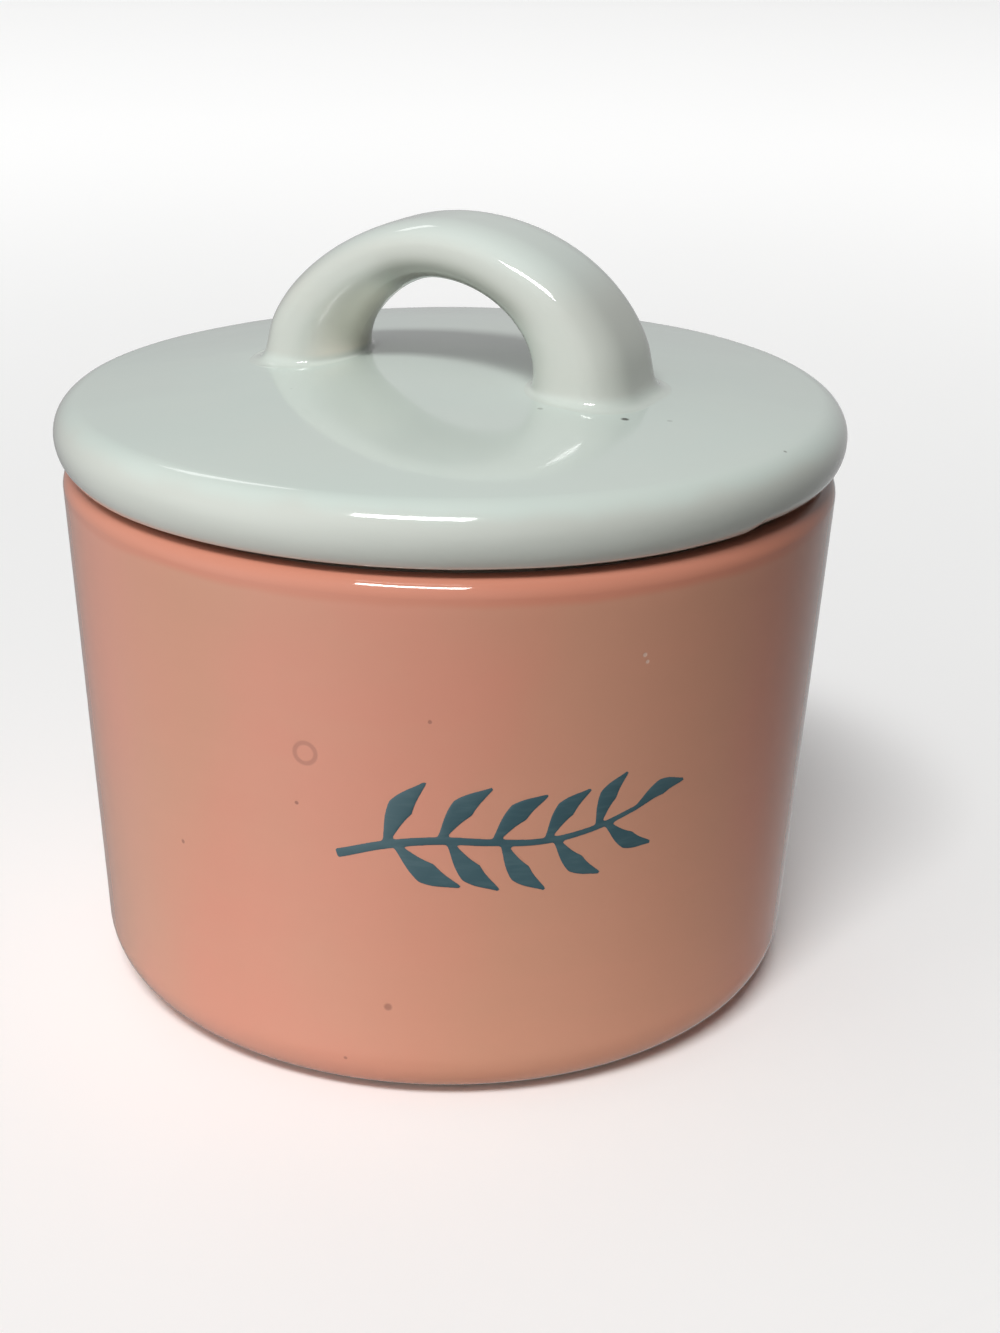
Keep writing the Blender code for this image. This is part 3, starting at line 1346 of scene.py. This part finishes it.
@dataclass(frozen=True)
class Softbox:
    """A rectangular studio lamp, placed by its bearing from the dish, with sizes in metres."""

    name: str
    bearing: float
    elevation: float
    width: float
    height: float
    watts: float
    distance: float = 6.0

    def hang(self, aim: Vector) -> None:
        """Add the lamp, turned to the dish.

        Args:
            aim: Point that the lamp faces.
        """
        away = bearing_way(self.bearing, self.elevation)
        bpy.ops.object.light_add(type="AREA", location=aim + away * self.distance)
        lamp = bpy.context.object
        lamp.name = self.name
        lamp.rotation_euler = (-away).to_track_quat("-Z", "Y").to_euler()
        lamp.data.shape = "RECTANGLE"
        lamp.data.size = self.width
        lamp.data.size_y = self.height
        lamp.data.energy = self.watts


@dataclass(frozen=True)
class Glow:
    """A soft patch of light in the studio's surroundings."""

    bearing: float
    elevation: float
    strength: float
    spread: float = 0.4

    def light(self, graph: Graph, way: Sock) -> Sock:
        """Strength of the patch in a direction.

        Args:
            graph: Graph of the world.
            way: Direction as a unit vector.

        Returns:
            The strength, full at the patch's middle and 0 outside it.
        """
        middle = tuple(bearing_way(self.bearing, self.elevation))
        side = graph.node("ShaderNodeVectorMath", {"operation": "DOT_PRODUCT"}, {0: way, 1: middle}, "Value")
        return side.above(self.spread, 1.0) * self.strength


@dataclass
class Studio:
    """Plain pale floor, soft light and the camera, in millimetres but for the floor's size in metres."""

    camera_place: Point = (140.8, -264.8, 162.5)
    camera_target: Point = (6.66, 3.54, 43.1)
    camera_roll: float = 0.0220
    focal_pixels: float = 2200.0
    image_height: float = 1333.0
    sensor: float = 36.0
    floor_size: float = 12.0
    floor_colour: Colour = (0.95, 0.95, 0.945)
    floor_shade: Colour = (0.935, 0.935, 0.93)
    floor_cloud: float = 120.0
    floor_roughness: float = 0.7
    haze: Colour = (0.26, 0.26, 0.26)
    haze_reach: float = 900.0
    paper_radius: float = 110.0
    paper_thickness: float = 0.02
    round_sides: int = 96
    aim_height: float = 50.0
    glows: tuple[Glow, ...] = (
        Glow(bearing=-122.0, elevation=45.0, strength=0.14),
        Glow(bearing=-42.0, elevation=45.0, strength=0.27),
        Glow(bearing=-2.0, elevation=10.0, strength=0.61),
        Glow(bearing=198.0, elevation=10.0, strength=0.25),
        Glow(bearing=-62.0, elevation=-25.0, strength=0.57, spread=0.3),
        Glow(bearing=178.0, elevation=-25.0, strength=0.24, spread=0.3),
    )
    lamps: tuple[Softbox, ...] = (
        Softbox("key_strip", bearing=14.0, elevation=53.0, width=2.7, height=1.0, watts=295.0),
        Softbox("back_strip", bearing=-127.0, elevation=44.0, width=1.6, height=0.6, watts=6.0),
    )

    def set_camera(self) -> None:
        """Put the camera where the dish is seen from."""
        place = Vector(self.camera_place) * MM
        ahead = (Vector(self.camera_target) * MM - place).normalized()
        level_right = ahead.cross(Vector((0.0, 0.0, 1.0))).normalized()
        level_up = level_right.cross(ahead)
        cosine, sine = math.cos(self.camera_roll), math.sin(self.camera_roll)
        right = cosine * level_right + sine * level_up
        up = cosine * level_up - sine * level_right
        bpy.ops.object.camera_add(location=place)
        camera = bpy.context.object
        turn = Matrix((right, up, -ahead)).transposed()
        camera.matrix_world = Matrix.Translation(place) @ turn.to_4x4()
        camera.data.sensor_width = self.sensor
        camera.data.lens = self.focal_pixels * self.sensor / self.image_height
        camera.data.clip_start = 0.01
        bpy.context.scene.camera = camera

    def floor_material(self) -> bpy.types.Material:
        """Mix matt pale paper with faint clouds, which glows a little far from the dish.

        Returns:
            The material.
        """
        material = bpy.data.materials.new("floor_paper")
        material.use_nodes = True
        graph = Graph(material.node_tree)
        cloud = graph.noise(self.floor_cloud, Seed.FLOOR, detail=3.0)
        far = graph.apart((0.0, 0.0, 0.0)).above(self.paper_radius, self.haze_reach)
        shader = material.node_tree.nodes["Principled BSDF"]
        graph.feed(shader.inputs["Base Color"], graph.mix(cloud, self.floor_colour, self.floor_shade))
        graph.feed(shader.inputs["Emission Color"], graph.mix(far, (0.0, 0.0, 0.0), self.haze))
        shader.inputs["Emission Strength"].default_value = 1.0
        shader.inputs["Roughness"].default_value = self.floor_roughness
        return material

    def lay_floor(self) -> None:
        """Lay the floor, and on it a sheet that alone throws light back at the dish."""
        Bench.clear()
        bpy.ops.mesh.primitive_plane_add(size=self.floor_size)
        floor = bpy.context.object
        floor.name = "floor"
        floor.visible_diffuse = False
        bpy.ops.mesh.primitive_circle_add(
            vertices=self.round_sides,
            radius=self.paper_radius * MM,
            fill_type="NGON",
            location=(0.0, 0.0, self.paper_thickness * MM),
        )
        paper = bpy.context.object
        paper.name = "paper"
        wall = self.raise_wall()
        material = self.floor_material()
        for sheet in (floor, paper, wall):
            sheet.visible_glossy = False
            sheet.data.materials.append(material)

    def raise_wall(self) -> bpy.types.Object:
        """Raise a round wall at the floor's edge, a backdrop that throws no light or shadow.

        Returns:
            The wall.
        """
        bpy.ops.mesh.primitive_cylinder_add(
            vertices=self.round_sides,
            radius=self.floor_size / 2,
            depth=self.floor_size,
            end_fill_type="NOTHING",
        )
        bpy.ops.object.shade_smooth()
        wall = bpy.context.object
        wall.name = "wall"
        wall.visible_diffuse = False
        wall.visible_shadow = False
        return wall

    def set_sky(self) -> None:
        """Soft light from the studio's surroundings."""
        world = bpy.data.worlds.new("studio")
        world.use_nodes = True
        bpy.context.scene.world = world
        graph = Graph(world.node_tree)
        way = graph.node("ShaderNodeTexCoord", output="Generated")
        first, *others = (glow.light(graph, way) for glow in self.glows)
        shader = world.node_tree.nodes["Background"]
        shader.inputs["Color"].default_value = (1.0, 1.0, 1.0, 1.0)
        graph.feed(shader.inputs["Strength"], sum(others, first))

    def build(self) -> None:
        """Set up the whole studio."""
        self.set_camera()
        self.lay_floor()
        self.set_sky()
        for lamp in self.lamps:
            lamp.hang(Vector((0.0, 0.0, self.aim_height * MM)))
        bpy.context.scene.view_settings.view_transform = "Standard"


PINK = Glaze(
    name="pink_glaze",
    body=(0.612, 0.266, 0.187),
    cloud=(0.565, 0.284, 0.192),
    thin=(0.600, 0.287, 0.198),
    rim=(0.585, 0.238, 0.160),
    gloss=Gloss(ripple=0.015),
    speck=(0.17, 0.075, 0.06),
    marks=(
        Mark((7.75, -52.25, 51.0), 1.4, 0.32, 0.45),
        Mark((6.3, -52.0, 43.8), 0.35, 0.6),
        Mark((-12.5, -50.3, 33.1), 0.4, 0.5),
        Mark((17.2, -47.9, 15.3), 0.7, 0.5),
        Mark((23.0, -47.9, 56.8), 0.35, 0.5),
        Mark((11.4, -49.1, 6.5), 0.35, 0.5),
        Mark((43.8, -30.8, 63.9), 0.4, 0.5, tint=(0.72, 0.60, 0.52)),
        Mark((44.0, -30.4, 62.9), 0.35, 0.5, tint=(0.72, 0.60, 0.52)),
    ),
)
PALE = Glaze(
    name="pale_glaze",
    body=(0.573, 0.650, 0.602),
    cloud=(0.588, 0.655, 0.606),
    thin=(0.598, 0.650, 0.596),
    speck=(0.16, 0.16, 0.14),
    # rim: darker, less green tone of the lid's side, which is painted shade.
    rim=(0.566, 0.594, 0.545),
    gloss=Gloss(roughness=0.08, coat=0.5, coat_roughness=0.03, ripple=0.025),
    marks=(
        Mark((30.7, -9.8, 87.3), 0.75, 1.0, tint=(0.06, 0.06, 0.055)),
        Mark((-14.0, -19.8, 87.6), 0.4, 0.7),
        Mark((-19.8, -17.6, 87.5), 0.35, 0.5),
        Mark((51.6, -6.5, 84.9), 0.35, 0.7),
        Mark((19.8, -12.7, 87.6), 0.5, 0.5),
        Mark((35.6, -6.5, 86.8), 0.5, 0.3),
        Mark((9.0, -30.8, 87.8), 0.5, 0.25),
    ),
)
THICK = Glaze(
    name="thick_pale_glaze",
    body=(0.556, 0.580, 0.533),
    cloud=(0.541, 0.562, 0.515),
    thin=(0.576, 0.580, 0.522),
    rim=(0.560, 0.612, 0.562),
    speck=(0.30, 0.31, 0.29),
    gloss=Gloss(roughness=0.04, coat=0.35, coat_roughness=0.03, ripple=0.014),
    mottle=Mottle(fine_share=0.3, dust_spacing=6.0, dust_radius=0.45, dust_chance=0.12, dust_share=0.35),
)
TEAL = Glaze(
    name="teal_enamel",
    body=(0.062, 0.115, 0.133),
    cloud=(0.050, 0.098, 0.116),
    thin=(0.088, 0.148, 0.163),
    speck=(0.02, 0.04, 0.05),
    mottle=Mottle(cloud_size=9.0, streak_size=5.0, streak_share=0.5, fine_size=1.5, dust_chance=0.03),
)


def main() -> None:
    """Build the studio and the dish."""
    logging.basicConfig(level=logging.INFO, format="%(name)s: %(message)s")
    Studio().build()
    pot = PotShell()
    LOG.info("pot: %s", pot.build(PINK).name)
    LOG.info("sprig: %s", FrontSprig(pot).build(TEAL).name)
    lid = LidDisc()
    lid_piece = lid.build(PALE)
    LOG.info("lid: %s", lid_piece.name)
    handle_piece = ArchHandle(lid).build(THICK, lid_piece)
    LOG.info("handle: %s", handle_piece.name)
    KilnWarp().bend((lid_piece, handle_piece))


if __name__ == "__main__":
    main()
